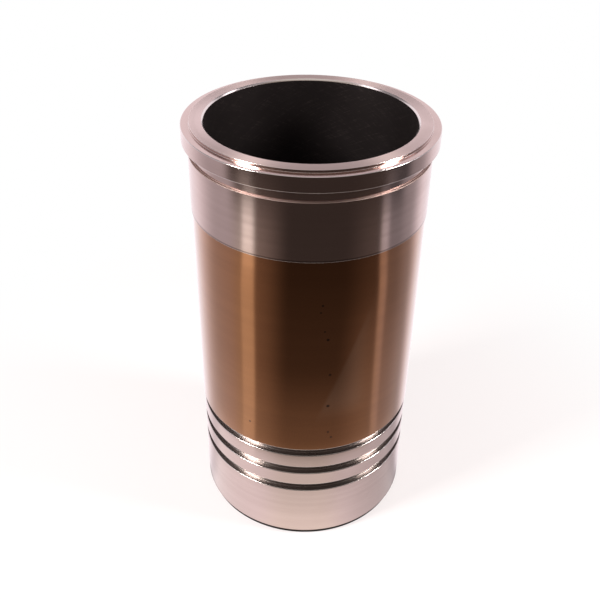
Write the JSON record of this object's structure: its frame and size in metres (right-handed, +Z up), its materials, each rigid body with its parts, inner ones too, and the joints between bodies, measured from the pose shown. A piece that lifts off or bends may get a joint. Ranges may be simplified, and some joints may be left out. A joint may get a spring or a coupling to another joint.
{
  "type": "cylinder liner",
  "caption": "Wet cylinder liner for a heavy diesel engine: honed bore, stepped top flange, locating belt, bronze-coated barrel and seal ring grooves above a tapered foot.",
  "frame": {"origin": "centre of the foot, where the bore's axis meets the lowest plane", "axes": "+Z up along the bore's axis to the flanged head end; X and Y are free, as the part is round"},
  "size_m": [0.166, 0.166, 0.3048],
  "materials": {
    "liner_iron": "turned outside and honed bore, with a bronze-toned coating on the barrel between the belts"
  },
  "bodies": {
    "root": {"cylinder_liner": "liner_iron"}
  },
  "joints": []
}
